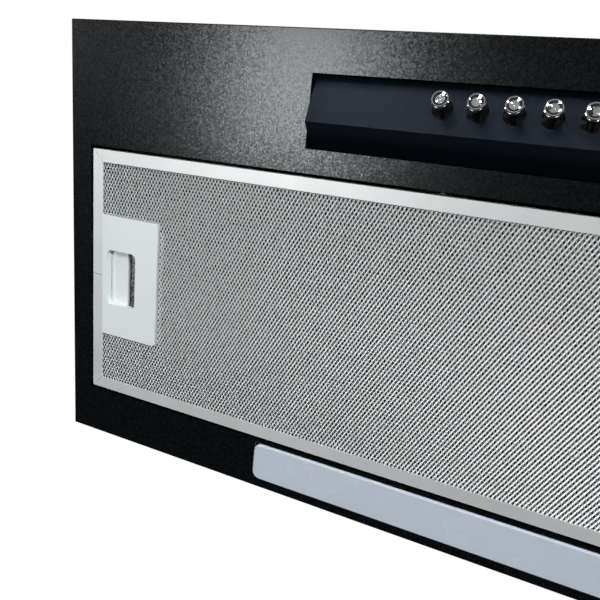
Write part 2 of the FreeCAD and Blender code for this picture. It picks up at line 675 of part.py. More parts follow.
def filter_handle():
    """Moulded plate with the finger slot, and behind it the chamber that the latch slides in."""
    body = place(new_body("FilterHandle"),
                 (f"{HANDLE_LEFT} + handle_width / 2", "filter_middle", f"{UNDERSIDE} - handle_proud"))
    face = sketch_on(body, "HandlePlate")
    rectangle(face, "handle_width", "handle_length")
    plate = pad(body, face, "handle_plate")
    doc.recompute()
    corners = edges_where(plate.Shape, lambda edge: upright(edge) and edge.CenterOfMass.x > 0)
    soften(body, plate, corners, "2")
    walls = sketch_on(body, "HandleWalls", offset=("0", "0", "handle_plate"))
    rectangle(walls, "handle_width - chamber_narrower", "handle_length - chamber_shorter")
    pad(body, walls, "chamber_height")
    chamber = sketch_on(body, "HandleChamber", offset=("0", "0", "handle_plate"))
    rectangle(chamber, "handle_width - chamber_narrower - 2 * handle_wall",
              "handle_length - chamber_shorter - 2 * handle_wall")
    pocket(body, chamber, "chamber_height", reverse=True)
    for end in (-1, 1):
        middle = ("-handle_width / 2", f"{end} * tongue_spread / 2", "handle_plate")
        notch = sketch_on(body, f"TongueNotch{end + 1}", offset=middle)
        rectangle(notch, "4 * handle_wall", "tongue_width + 1")
        pocket(body, notch, "chamber_height", reverse=True)
        lug_middle = ("-handle_width / 2 - 0.4", f"{end} * (handle_length / 2 - 8)", "handle_proud + 1")
        lug = sketch_on(body, f"HandleLug{end + 1}", offset=lug_middle)
        rectangle(lug, "3", "8")
        pad(body, lug, "1.6")
    slot_middle = ("-handle_width / 2 + slot_inset + slot_width / 2", "0.4", "0")
    slot = sketch_on(body, "FingerSlot", offset=slot_middle)
    rectangle(slot, "slot_width", "slot_length")
    opened = pocket(body, slot, "handle_plate", reverse=True)
    half_length = value("slot_length") / 2 + 1
    thickness = value("handle_plate")

    def in_slot(edge):
        full_height = upright(edge) and abs(edge.Length - thickness) < 0.01
        return full_height and abs(edge.CenterOfMass.y) < half_length

    soften(body, opened, edges_where(opened.Shape, in_slot), "slot_round")
    return node(body, "filter_handle")


def filter_latch():
    """The slide that the finger pulls, with two tongues that reach over the panel's edge."""
    left = f"{HANDLE_LEFT} + latch_start"
    lip_left = f"{HANDLE_LEFT} + latch_end - latch_thick"
    near = "filter_middle - latch_length / 2"
    finger = box("LatchPad", (left, near, TONGUE_LOW),
                 ("latch_end - latch_start", "latch_length", "latch_thick"))
    lip = box("LatchLip", (lip_left, near, TONGUE_LOW), ("latch_thick", "latch_length", "latch_thick + 1"))
    tongues = []
    tip = f"{FILTER_LEFT} - tongue_reach"
    size = (f"({left}) - ({tip}) + 1", "tongue_width", "latch_thick")
    for end in (-1, 1):
        corner = (tip, f"filter_middle + {end} * tongue_spread / 2 - tongue_width / 2", TONGUE_LOW)
        tongues.append(box(f"Tongue{end + 1}", corner, size))
    return node(fuse("FilterLatch", finger, lip, *tongues), "filter_latch")


def coil(name, base, radius, wire, height, turns, axis=None, angle="0"):
    """A compression spring: a round wire swept up a helix."""
    helix = doc.addObject("Part::Helix", f"{name}Helix")
    helix.setExpression("Radius", ref(f"({radius}) - ({wire})"))
    helix.setExpression("Pitch", ref(f"(({height}) - 2 * ({wire})) / {turns}"))
    helix.setExpression("Height", ref(f"({height}) - 2 * ({wire})"))
    section = doc.addObject("Part::Circle", f"{name}Wire")
    section.setExpression("Radius", ref(wire))
    section.Placement.Rotation = FreeCAD.Rotation(FreeCAD.Vector(1, 0, 0), 90)
    section.setExpression("Placement.Base.x", ref(f"({radius}) - ({wire})"))
    spring = doc.addObject("Part::Sweep", name)
    spring.Sections = [section]
    doc.recompute()
    spring.Spine = (helix, [f"Edge{i + 1}" for i in range(len(helix.Shape.Edges))])
    spring.Solid = True
    spring.Frenet = True
    return place(spring, base, axis, angle)


def latch_springs():
    """Two springs between the latch's lip and the chamber wall."""
    start = f"{HANDLE_LEFT} + latch_end + 0.6"
    reach = "handle_width - chamber_narrower / 2 - handle_wall - latch_end - 1.2"
    springs = []
    for end in (-1, 1):
        base = (start, f"filter_middle + {end} * 22", f"{TONGUE_LOW} + 1.3")
        springs.append(coil(f"LatchSpring{end + 1}", base, "1.2", "0.2", reach, 12, (0, 1, 0), "90"))
    return node(group("LatchSprings", *springs), "latch_springs")


def filter_tabs():
    """Two angles on the frame's right end that hook over the panel's upturned edge."""
    parts = []
    low = f"{UNDERSIDE} + keeper_height + 0.4"
    for end in (-1, 1):
        depth = f"filter_middle + {end} * 60 - 10"
        leg = box(f"TabLeg{end + 1}", ("filter_length / 2", depth, f"{UNDERSIDE} + 1"),
                  ("1.2", "20", f"keeper_height + 0.6"))
        arm = box(f"TabArm{end + 1}", ("filter_length / 2", depth, low), ("filter_gap + 5.4", "20", "1.2"))
        parts.append(fuse(f"Tab{end + 1}", leg, arm))
    return node(group("FilterTabs", *parts), "filter_tabs")


# ---- control bar and push buttons ------------------------------------------------------------------

BAR_FRONT = "-body_depth / 2 + control_setback + control_gap"
BAR_LEVEL = f"{UNDERSIDE} + face_recess"
ROW_BACK = f"{BAR_FRONT} + button_row * cos(face_tilt)"
ROW_LEVEL = f"{BAR_LEVEL} - button_row * sin(face_tilt)"
FACE_TURN = "180 - face_tilt"
BLOCK_LENGTH = "button_pitch * (button_count - 1) + 22"


def button_places():
    return [f"({i} - (button_count - 1) / 2) * button_pitch" for i in range(int(value("button_count")))]


def on_face(obj, across="0", height="0"):
    """Place a piece in the button row: its own Z points out of the tilted face."""
    back = f"{ROW_BACK} - ({height}) * sin(face_tilt)"
    level = f"{ROW_LEVEL} - ({height}) * cos(face_tilt)"
    return place(obj, (across, back, level), (1, 0, 0), FACE_TURN)


def control_fascia():
    """The folded bar in the panel's opening: tilted button face in front, plain face behind the ridge."""
    body = place(new_body("ControlFascia"), ("0", BAR_FRONT, BAR_LEVEL))
    section = sketch_on(body, "BarSection", "YZ_Plane")
    depth = "control_depth - 2 * control_gap"
    outline(section, (("0", "0"), ("ridge_setback", "-ridge_setback * tan(face_tilt)"),
                      (depth, "rear_rise"), (depth, "bar_rise"), ("0", "bar_rise")))
    bar = pad(body, section, "control_length - 4 * control_gap", symmetric=True)
    shell = hollow(body, bar, "bar_wall")
    doc.recompute()
    spot = ("-(button_count - 1) / 2 * button_pitch", "button_row * cos(face_tilt)",
            "-button_row * sin(face_tilt)")
    row = sketch_on(body, "ButtonHole", "XY_Plane", spot, (1, 0, 0), FACE_TURN)
    circle(row, "button_hole / 2")
    hole = pocket(body, row, "2 * bar_wall")
    pattern = body.newObject("PartDesign::LinearPattern", "ButtonHoles")
    pattern.Originals = [hole]
    pattern.Direction = (origin_feature(body, "X_Axis"), [""])
    pattern.setExpression("Length", ref("button_pitch * (button_count - 1)"))
    pattern.setExpression("Occurrences", ref("button_count"))
    body.Tip = pattern
    doc.recompute()
    assert pattern.Shape.Volume < shell.Shape.Volume, "the button holes are missing"
    return node(body, "control_fascia")


def push_button(index, across):
    """A chromed cap on a stem, turned about the axis it is pushed along: a round rim and a dished top."""
    stem = "stem_diameter / 2"
    cap = "cap_diameter / 2"
    top = "cap_height"
    body = turned(f"PushButton{index}", (
        ("0", "-stem_depth"), (stem, "-stem_depth"), (stem, f"{top} - cap_thick"),
        (f"{cap} - 0.5", f"{top} - cap_thick + 0.7"), (cap, f"{top} - cap_thick + 1.2"),
        (cap, f"{top} - 0.8"), (f"{cap} - 0.2", f"{top} - 0.3"), (f"{cap} - 0.6", top), (f"{cap} - 1.1", top),
        (f"{cap} - 1.6", f"{top} - 0.3 * cap_dish"), (f"{cap} / 2", f"{top} - 0.75 * cap_dish"),
        (f"{cap} / 4", f"{top} - 0.95 * cap_dish"), ("0", f"{top} - cap_dish")))
    return node(on_face(body, across), f"button_{index}")


def switch_block():
    """The moulded switch body behind the bar, with one guide bore for each stem."""
    size = (BLOCK_LENGTH, "switch_width", "switch_depth")
    corner = (f"-({BLOCK_LENGTH}) / 2", "-switch_width / 2", "-switch_top - switch_depth")
    blank = box("SwitchBlank", corner, size)
    bores = [cylinder(f"SwitchBore{i}", (across, "0", "-switch_top - switch_depth + 2"),
                      "stem_diameter / 2 + running_fit", "switch_depth")
             for i, across in enumerate(button_places())]
    return node(on_face(cut("SwitchBlock", blank, *bores)), "switch_block")


def switch_brackets():
    """Two moulded feet that hang the switch block from the inside of the bar."""
    parts = []
    for side in (-1, 1):
        foot = slab(f"SwitchFoot{side + 1}", (f"{side} * (({BLOCK_LENGTH}) / 2 + 4)", "-1"),
                    "-switch_top - 12", "-bar_wall - 0.05", "8", "14")
        parts.append(foot)
    return node(on_face(group("SwitchBrackets", *parts)), "switch_brackets")


def button_spring(index, across):
    height = "switch_top + switch_depth - 2 - stem_depth - 0.4"
    spring = coil(f"ButtonSpring{index}", ("0", "0", "0"), "2.3", "0.25", height, 5)
    return node(on_face(spring, across, "-switch_top - switch_depth + 2.45"), f"button_spring_{index}")


# ---- light -----------------------------------------------------------------------------------------

def light_lens():
    """Milky cover: a shallow tray, mouth up, with round corners and a bevelled lower edge."""
    body = place(new_body("LightLens"), (*LIGHT_AT, f"{UNDERSIDE} - light_proud"))
    face = sketch_on(body, "LensFace")
    rectangle(face, "light_length", "light_width")
    block = pad(body, face, "light_height")
    doc.recompute()
    rounded = soften(body, block, edges_where(block.Shape, upright), "light_round")
    tray = hollow(body, rounded, "light_wall")
    doc.recompute()
    rim = edges_where(tray.Shape, lambda edge: edge.BoundBox.ZMax < 0.01)
    soften(body, tray, rim, "1", kind="Chamfer")
    return node(body, "light_lens")


def light_housing():
    """Folded tray over the lens that carries the lamp board."""
    body = place(new_body("LightHousing"), (*LIGHT_AT, f"{UNDERSIDE} + gauge"))
    cover = sketch_on(body, "LampCover")
    rectangle(cover, "light_length + 2 * lens_gap + 2 * gauge", "light_width + 2 * tray_gap + 2 * gauge")
    hollow(body, pad(body, cover, "lamp_height"), "gauge", up=False)
    return node(body, "light_housing")


def lamp_board():
    """Strip circuit board under the tray's roof, and its row of light-emitting chips."""
    under_roof = f"{UNDERSIDE} + lamp_height"
    under_board = f"{under_roof} - board_thick"
    board_length = "light_length - 2 * board_margin"
    board = slab("LampBoard", LIGHT_AT, under_board, under_roof, board_length, "board_width")
    node(board, "lamp_board")
    under_chips = f"{under_board} - chip_thick"
    chips = []
    for i in range(int(value("chip_count"))):
        spot = (f"({i} - (chip_count - 1) / 2) * chip_pitch", "light_middle")
        chips.append(slab(f"Chip{i}", spot, under_chips, under_board, "chip_length", "chip_width"))
    node(group("LampChips", *chips), "lamp_chips")


def lamp_driver():
    """Sealed power supply for the lamp, under the top plate."""
    case = slab("LampDriver", DRIVER_AT, "-gauge - driver_height", "-gauge", "driver_length", "driver_depth")
    return node(case, "lamp_driver")


# ---- blower ----------------------------------------------------------------------------------------

def blower_point(x, y):
    return FreeCAD.Vector(-value("blower_left") + x, -value("blower_front") + y, 0)


def quarter(centre, radius, start):
    """A quarter circle, clockwise from the start angle."""
    angles = [math.radians(start - step) for step in (0, 45, 90)]
    spots = [centre + FreeCAD.Vector(radius * math.cos(a), radius * math.sin(a), 0) for a in angles]
    return Part.Arc(*spots).toShape()


def scroll_outline(inset=0.0):
    """The volute's plan: three quarter turns of growing radius, a straight outlet and a rounded tongue."""
    step, start = value("scroll_step"), value("scroll_start") - inset
    half = step / 2
    reach, near = value("outlet_reach") + inset, value("outlet_near") + inset
    tongue = 12 - inset
    centres = (blower_point(-half, -half), blower_point(-half, half), blower_point(half, half))
    arcs = [quarter(centre, start + i * step, -90 * i) for i, centre in enumerate(centres)]
    right = value("scroll_start") - half - inset
    far = half + start + 2 * step
    tongue_centre = blower_point(right + tongue, near - tongue)
    bend = [tongue_centre + FreeCAD.Vector(tongue * math.cos(a), tongue * math.sin(a), 0)
            for a in (math.pi / 2, 3 * math.pi / 4, math.pi)]
    outlet_corners = [blower_point(half, far), blower_point(reach, far), blower_point(reach, near), bend[0]]
    outlet = Part.makePolygon(outlet_corners)
    throat = Part.makeLine(bend[2], blower_point(right, -half))
    return Part.Wire(Part.__sortEdges__(arcs + outlet.Edges + [Part.Arc(*bend).toShape(), throat]))


def scroll_half(name, low, high, plate_low, opening_radius):
    """One half of the volute: a wall between two heights and a plate with a round opening."""
    wall = value("scroll_wall")
    outer = Part.Face(scroll_outline())
    inner = Part.Face(scroll_outline(wall))
    up = FreeCAD.Vector(0, 0, 1)
    shape = outer.extrude(up * (high - low))
    shape.translate(up * low)
    hollowed = inner.extrude(up * (high - low))
    hollowed.translate(up * low)
    shape = shape.cut(hollowed)
    plate = outer.extrude(up * wall)
    plate.translate(up * plate_low)
    opening = Part.makeCylinder(opening_radius, 3 * wall, blower_point(0, 0) + up * (plate_low - wall))
    feature = doc.addObject("Part::Feature", name)
    feature.Shape = shape.fuse(plate).cut(opening).removeSplitter()
    return feature


def blower_scroll():
    """Upper half with the motor opening, lower half with the inlet."""
    roof, floor, wall = -value("scroll_roof"), -value("scroll_floor"), value("scroll_wall")
    middle = (roof + floor) / 2
    node(scroll_half("ScrollUpper", middle, roof, roof - wall, value("motor_hole")), "scroll_upper")
    node(scroll_half("ScrollLower", floor, middle, floor, value("inlet_radius") + 4), "scroll_lower")


def inlet_ring():
    """Bell mouth screwed under the scroll, which leads the air into the wheel."""
    floor = "-scroll_floor"
    under = f"{floor} - inlet_plate"
    lip = f"{floor} + inlet_rise"
    throat = "inlet_radius"
    flange = f"{throat} + inlet_flange"
    body = turned("InletRing", (
        (f"{throat} + 2", under), (flange, under), (flange, floor), (f"{throat} + 3.6", floor),
        (f"{throat} + 2", lip), (throat, lip), (throat, f"{floor} + 1")))
    return node(place(body, (*BLOWER_AT, "0")), "inlet_ring")


def impeller():
    """Squirrel-cage wheel: a bowl round the motor, forward-curved blades and an end ring."""
    body = place(new_body("Impeller"), (*BLOWER_AT, "0"))
    bowl = sketch_on(body, "WheelBowl", "XZ_Plane")
    bore = "shaft_radius + running_fit"
    disc, disc_top = "-wheel_top - wheel_skin", "-wheel_top"
    hub_top = "-hub_low + hub_height"
    outline(bowl, ((bore, "-hub_low"), ("hub_radius", "-hub_low"), ("hub_radius", "-bowl_low"),
                   ("bowl_radius", "-bowl_low"), ("blade_inner", disc), ("wheel_radius", disc),
                   ("wheel_radius", disc_top), ("blade_inner - 2.2", disc_top),
                   ("bowl_radius - 1.4", "-bowl_low + wheel_skin"), ("hub_radius", "-bowl_low + wheel_skin"),
                   ("hub_radius", hub_top), (bore, hub_top)))
    revolve(body, bowl)
    blade = sketch_on(body, "WheelBlade", offset=("0", "0", "-wheel_low + 2"))
    stations = range(4)
    radii = [f"(blade_inner + 0.4 + (wheel_radius - blade_inner - 1.2) * {i} / 3)" for i in stations]
    sweeps = [f"blade_sweep * {(i / 3) ** 2:.5f}" for i in stations]
    sides = []
    for side, order in ((-1, stations), (1, reversed(stations))):
        for i in order:
            angle = f"{sweeps[i]} + {side} * blade_thick / 2 / {radii[i]} * {math.degrees(1):.4f}"
            sides.append((f"{radii[i]} * cos({angle})", f"{radii[i]} * sin({angle})"))
    outline(blade, sides)
    vane = pad(body, blade, "wheel_low - wheel_top - 3")
    doc.recompute()
    pattern = body.newObject("PartDesign::PolarPattern", "WheelBlades")
    pattern.Originals = [vane]
    pattern.Axis = (origin_feature(body, "Z_Axis"), [""])
    pattern.Angle = 360
    pattern.setExpression("Occurrences", ref("blade_count"))
    body.Tip = pattern
    doc.recompute()
    ring = sketch_on(body, "WheelRing", "XZ_Plane")
    ring_inner, ring_top = "wheel_radius - ring_width", "-wheel_low + ring_height"
    outline(ring, ((ring_inner, "-wheel_low"), ("wheel_radius", "-wheel_low"), ("wheel_radius", ring_top),
                   (ring_inner, ring_top)))
    body.Tip = revolve(body, ring)
    return node(body, "impeller")


def motor_half(name, face, inward):
    """One half of the motor housing: from its end face, a cup with a bearing seat, open at the joint."""
    outer, inner = "motor_radius", "motor_radius - motor_wall"
    seat, seat_outer = "bearing_radius + running_fit", "bearing_radius + motor_wall"
    floor = f"{face} + {inward} * motor_wall"
    seat_end = f"{floor} + {inward} * bearing_seat"
    return turned(name, (
        ("motor_hole", face), (outer, face), (outer, "-motor_split"), (inner, "-motor_split"), (inner, floor),
        (seat_outer, floor), (seat_outer, seat_end), (seat, seat_end), (seat, floor), ("motor_hole", floor)))


def tube(name, inner, outer, low, high):
    """A plain ring about Z."""
    return turned(name, ((inner, low), (outer, low), (outer, high), (inner, high)))


def motor():
    """Housing halves, stator with its windings, rotor, shaft and bearings."""
    at = (*BLOWER_AT, "0")
    node(place(motor_half("MotorUpper", "-motor_top", -1), at), "motor_housing_upper")
    node(place(motor_half("MotorLower", "-motor_low", 1), at), "motor_housing_lower")
    stack_top, stack_low = "-stator_top", "-stator_top - stator_height"
    stack_outer = "motor_radius - motor_wall - running_fit"
    node(place(tube("MotorStator", "stator_bore", stack_outer, stack_low, stack_top), at), "motor_stator")
    windings = []
    for i, low in enumerate((f"{stack_low} - winding_height", stack_top)):
        winding = tube(f"Winding{i}", "winding_inner", "winding_outer", low, f"{low} + winding_height")
        windings.append(place(winding, at))
    node(group("MotorWindings", *windings), "motor_windings")
    shaft_hole = "shaft_radius + running_fit"
    rotor = tube("MotorRotor", shaft_hole, "stator_bore - rotor_gap", f"{stack_low} - 1", f"{stack_top} + 1")
    node(place(rotor, at), "motor_rotor")
    shaft = cylinder("MotorShaft", (*BLOWER_AT, "-wheel_low"), "shaft_radius", "wheel_low - shaft_top")
    node(shaft, "motor_shaft")
    bearings = []
    upper_low = "-motor_top - motor_wall - bearing_seat + 0.5"
    lower_low = "-motor_low + motor_wall + 0.5"
    for i, low in enumerate((upper_low, lower_low)):
        ring = tube(f"Bearing{i}", shaft_hole, "bearing_radius", low, f"{low} + bearing_thick")
        bearings.append(place(ring, at))
    node(group("MotorBearings", *bearings), "motor_bearings")


def motor_mounts():
    """Rubber mounts that the motor hangs from under the scroll's roof."""
    mounts = []
    height = "motor_top - scroll_roof - scroll_wall"
    for i in range(3):
        angle = f"{120 * i + 90}"
        spot = (f"-blower_left + mount_circle * cos({angle})", f"-blower_front + mount_circle * sin({angle})",
                "-motor_top")
        mounts.append(cylinder(f"MotorMount{i}", spot, "mount_radius", height))
    return node(group("MotorMounts", *mounts), "motor_mounts")


def impeller_nut():
    """Hexagon nut under the hub."""
    hexagon = doc.addObject("Part::Prism", "NutHexagon")
    hexagon.Polygon = 6
    hexagon.setExpression("Circumradius", ref("nut_corner"))
    hexagon.setExpression("Height", ref("nut_height"))
    place(hexagon, (*BLOWER_AT, "-hub_low - nut_height"))
    hole = cylinder("NutBore", (*BLOWER_AT, "-hub_low - 2 * nut_height"), "shaft_radius + running_fit",
                    "3 * nut_height")
    return node(cut("ImpellerNut", hexagon, hole), "impeller_nut")


def motor_capacitor():
    """Run capacitor lying under the top plate, held in a strap."""
    can = cylinder("MotorCapacitor", CAPACITOR_START, "capacitor_radius", "capacitor_length", "Y")
    node(can, "motor_capacitor")
    left, near, level = CAPACITOR_START
    strap = slab("StrapBlock", (left, f"{near} + capacitor_length / 2 - 1"), f"{level} - 2", "-gauge",
                 "strap_length", "strap_width")
    bore_radius = "capacitor_radius + 2 * running_fit"
    bore = cylinder("StrapBore", (left, f"{near} - 20", level), bore_radius, "capacitor_length + 40", "Y")
    node(cut("CapacitorStrap", strap, bore), "capacitor_strap")


def blower_mounts():
    """Rubber pads that hang the scroll under the top plate."""
    spots = (("-184", "-8"), ("-95", "-92"), ("-95", "92"), ("18", "72"))
    pads = [cylinder(f"BlowerPad{i}", (*spot, "-scroll_roof"), "pad_radius", "scroll_roof - gauge")
            for i, spot in enumerate(spots)]
    return node(group("BlowerPads", *pads), "blower_pads")


# ---- outlet ----------------------------------------------------------------------------------------

def outlet_plenum():
    """Box that turns the air from the scroll's outlet up into the collar."""
    left = "-blower_left + outlet_reach"
    near = "collar_back - plenum_depth / 2"
    wall = "scroll_wall"
    low = "-scroll_floor"
    high = "-scroll_roof"
    tall = f"({high}) - ({low})"
    outer = box("PlenumOuter", (left, near, low), ("plenum_length", "plenum_depth", tall))
    inner = box("PlenumInner", (f"{left} + {wall}", f"{near} + {wall}", f"{low} + {wall}"),
                (f"plenum_length - 2 * {wall}", f"plenum_depth - 2 * {wall}", f"{tall} - 2 * {wall}"))
    outlet_near_side = f"-blower_front + outlet_near + {wall}"
    outlet_wide = "scroll_start + 2.5 * scroll_step - outlet_near - 2 * scroll_wall"
    mouth = box("PlenumMouth", (f"{left} - 1", outlet_near_side, f"{low} + {wall}"),
                (f"{wall} + 2", outlet_wide, f"{tall} - 2 * {wall}"))
    spigot_low = f"{high} - 2 * {wall}"
    spigot = cylinder("PlenumSpigot", (*COLLAR_AT, spigot_low), "collar_outer + 0.5", f"4 * {wall}")
    return node(cut("OutletPlenum", outer, inner, mouth, spigot), "outlet_plenum")


def outlet_collar():
    """Duct spigot with its flange on the top plate and the lip that the flaps close on."""
    bore, outside = "collar_outer - collar_wall", "collar_outer"
    flange = "collar_outer + collar_flange"
    seat_top, seat_edge = "seat_level + seat_thick", f"{bore} - seat_width"
    body = turned("OutletCollar", (
        (bore, "-collar_below"), (outside, "-collar_below"), (outside, "0"), (flange, "0"),
        (flange, "flange_thick"), (outside, "flange_thick"), (outside, "collar_height"),
        (bore, "collar_height"), (bore, seat_top), (seat_edge, seat_top), (seat_edge, "seat_level"),
        (bore, "seat_level")))
    return node(place(body, (*COLLAR_AT, "0")), "outlet_collar")


def collar_screws():
    """Screws that hold the collar's flange on the top plate."""
    parts = []
    for i in range(4):
        angle = f"{90 * i + 45}"
        spot = (f"collar_left + (collar_outer + collar_flange / 2) * cos({angle})",
                f"collar_back + (collar_outer + collar_flange / 2) * sin({angle})", "flange_thick")
        parts.append(screw(f"CollarScrew{i}", spot, "Z", thick="1.6", reach="6"))
    return node(group("CollarScrews", *parts), "collar_screws")


def non_return_flaps():
    """Two half-round flaps, each on its own pin across the collar."""
    pins = []
    for side, label in ((-1, "flap_left"), (1, "flap_right")):
        pin_at = f"collar_left + {side} * flap_spread"
        name = f"Flap{side + 1}"
        reach = "collar_outer - collar_wall + 0.6"
        pins.append(cylinder(f"{name}Pin", (pin_at, f"collar_back - ({reach})", "flap_lift"), "flap_pin",
                             f"2 * ({reach})", "Y"))
        disc_radius = "collar_outer - collar_wall - 1"
        disc = cylinder(f"{name}Disc", (*COLLAR_AT, "flap_level"), disc_radius, "flap_thick")
        far_side = (f"{pin_at} - {side} * collar_outer", "collar_back")
        size = ("2 * collar_outer", "3 * collar_outer")
        keep_out = slab(f"{name}Half", far_side, "0", "2 * flap_level", *size)
        barrel = cylinder(f"{name}Barrel", (pin_at, "collar_back - barrel_length / 2", "flap_lift"),
                          "flap_barrel", "barrel_length", "Y")
        bore = cylinder(f"{name}Bore", (pin_at, "collar_back - barrel_length", "flap_lift"),
                        "flap_pin + running_fit", "2 * barrel_length", "Y")
        half = cut(f"{name}HalfDisc", disc, keep_out)
        node(cut(name, fuse(f"{name}Whole", half, barrel), bore), label)
    node(group("FlapPins", *pins), "flap_pins")


# ---- mains connection ------------------------------------------------------------------------------

def mains_connection():
    """Junction box under the top plate, its lid and terminal block, and the gland the cable enters by."""
    low = "-junction_low"
    size = ("junction_length", "junction_depth")
    room = ("junction_length - 2 * junction_wall", "junction_depth - 2 * junction_wall")
    outer = slab("JunctionOuter", GLAND_AT, low, "-gauge", *size)
    inner = slab("JunctionInner", GLAND_AT, f"{low} - 1", "-gauge - junction_wall", *room)
    entry = cylinder("JunctionEntry", (*GLAND_AT, "-10"), "cable_hole", "20")
    node(cut("JunctionBox", outer, inner, entry), "junction_box")
    node(slab("JunctionLid", GLAND_AT, f"{low} - junction_wall", low, *size), "junction_lid")
    block_top = f"{low} + terminal_height"
    block = slab("TerminalBlank", TERMINAL_AT, low, block_top, "terminal_length", "terminal_depth")
    across, along = TERMINAL_AT
    wells = []
    for i in range(3):
        spot = (across, f"{along} + ({i} - 1) * terminal_pitch", f"{low} + 6")
        wells.append(cylinder(f"TerminalWell{i}", spot, "2.2", "terminal_height"))
    node(cut("TerminalBlock", block, *wells), "terminal_block")
    bore, barrel, nut, flange, cap = "gland_bore", "gland_barrel", "gland_nut", "gland_flange", "gland_cap"
    gland = turned("CableGland", (
        (bore, "-14"), (barrel, "-14"), (barrel, "-8"), (nut, "-8"), (nut, "-3"), (barrel, "-3"),
        (barrel, "0"), (flange, "0"), (flange, "4"), (cap, "4"), (cap, "9"), ("8", "14"), (bore, "14")))
    node(place(gland, (*GLAND_AT, "0")), "cable_gland")


def inlet_screws():
    """Screws that hold the inlet ring under the scroll."""
    parts = []
    for i in range(4):
        angle = f"{90 * i + 45}"
        spot = (f"-blower_left + (inlet_radius + 10) * cos({angle})",
                f"-blower_front + (inlet_radius + 10) * sin({angle})", "-scroll_floor - inlet_plate")
        parts.append(screw(f"InletScrew{i}", spot, "-Z", thick="1.6", reach="3.5"))
    return node(group("InletScrews", *parts), "inlet_screws")


# ---- the whole hood --------------------------------------------------------------------------------

underside_panel()
casing_wrap()
back_plate()
top_plate()
casing_screws()
filter_rests()
filter_frame()
filter_layers()
filter_handle()
filter_latch()
latch_springs()
filter_tabs()
control_fascia()
switch_block()
switch_brackets()
for number, across_bar in enumerate(button_places(), start=1):
    push_button(number, across_bar)
    button_spring(number, across_bar)
light_lens()
light_housing()
lamp_board()
lamp_driver()
blower_scroll()
inlet_ring()
impeller()
motor()
motor_mounts()
impeller_nut()
motor_capacitor()
blower_mounts()
outlet_plenum()
outlet_collar()
collar_screws()
non_return_flaps()
mains_connection()
inlet_screws()

doc.recompute()
for obj in doc.Objects:
    if "Invalid" in obj.State or "Error" in obj.State:
        raise RuntimeError(f"{obj.Name} did not build: {obj.State}")
os.makedirs("parts", exist_ok=True)
for piece in nodes:
    if piece.Shape.isNull() or not piece.Shape.isValid():
        raise RuntimeError(f"{piece.Label} has no valid shape")
    piece.Shape.exportStep(f"parts/{piece.Label}.step")
print(len(nodes), "sub-parts written")
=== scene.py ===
import json
import math

import bpy
import numpy as np
from mathutils import Matrix, Vector


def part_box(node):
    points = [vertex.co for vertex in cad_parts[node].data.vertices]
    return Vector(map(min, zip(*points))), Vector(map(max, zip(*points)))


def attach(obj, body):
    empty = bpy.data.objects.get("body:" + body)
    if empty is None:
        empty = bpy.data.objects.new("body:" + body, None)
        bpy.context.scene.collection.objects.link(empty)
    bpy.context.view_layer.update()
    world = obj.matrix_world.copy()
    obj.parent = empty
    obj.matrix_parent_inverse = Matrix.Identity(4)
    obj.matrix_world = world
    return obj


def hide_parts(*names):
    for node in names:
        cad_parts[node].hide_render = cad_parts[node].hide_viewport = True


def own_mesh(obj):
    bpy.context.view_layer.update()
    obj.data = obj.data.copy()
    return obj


# Under cabinet range hood seen from below. Metres; the origin is the centre of the hood's top face,
# Z is up and the front edge lies towards -Y.

MM = 0.001

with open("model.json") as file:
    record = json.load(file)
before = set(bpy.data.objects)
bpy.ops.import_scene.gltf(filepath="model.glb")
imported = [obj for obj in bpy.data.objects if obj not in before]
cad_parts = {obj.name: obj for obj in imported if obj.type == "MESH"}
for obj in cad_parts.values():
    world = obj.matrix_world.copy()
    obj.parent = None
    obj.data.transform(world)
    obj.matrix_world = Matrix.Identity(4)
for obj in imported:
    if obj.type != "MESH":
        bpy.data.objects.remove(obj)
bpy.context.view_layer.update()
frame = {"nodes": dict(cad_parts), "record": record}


# ---- material building blocks ----------------------------------------------------------------------

def new_material(name):
    """A node material whose shader feeds its output, with coordinates fixed to the part."""
    material = bpy.data.materials.new(name)
    material.use_nodes = True
    tree = material.node_tree
    tree.nodes.clear()
    output = tree.nodes.new("ShaderNodeOutputMaterial")
    shader = tree.nodes.new("ShaderNodeBsdfPrincipled")
    tree.links.new(shader.outputs["BSDF"], output.inputs["Surface"])
    place = tree.nodes.new("ShaderNodeTexCoord")
    return material, tree, shader, place.outputs["Object"]


def stretch(tree, vector, scale):
    """The coordinates scaled by three factors. A factor above 1 makes a pattern shorter that way."""
    mapping = tree.nodes.new("ShaderNodeMapping")
    mapping.inputs["Scale"].default_value = scale
    tree.links.new(vector, mapping.inputs["Vector"])
    return mapping.outputs["Vector"]


def noise(tree, vector, size, detail):
    """Noise whose features are about `size` metres across, with `detail` finer layers."""
    node = tree.nodes.new("ShaderNodeTexNoise")
    node.inputs["Scale"].default_value = 1.0 / size
    node.inputs["Detail"].default_value = detail
    tree.links.new(vector, node.inputs["Vector"])
    return node.outputs["Fac"]


def cells(tree, vector, size, output):
    """Voronoi cells about `size` metres across: their random colours, or the distance from their middles."""
    node = tree.nodes.new("ShaderNodeTexVoronoi")
    node.inputs["Scale"].default_value = 1.0 / size
    tree.links.new(vector, node.inputs["Vector"])
    return node.outputs[output]


def remap(tree, value, low, high, to_low, to_high):
    """A linear map of a value, clamped to its new range."""
    node = tree.nodes.new("ShaderNodeMapRange")
    node.inputs["From Min"].default_value = low
    node.inputs["From Max"].default_value = high
    node.inputs["To Min"].default_value = to_low
    node.inputs["To Max"].default_value = to_high
    tree.links.new(value, node.inputs["Value"])
    return node.outputs["Result"]


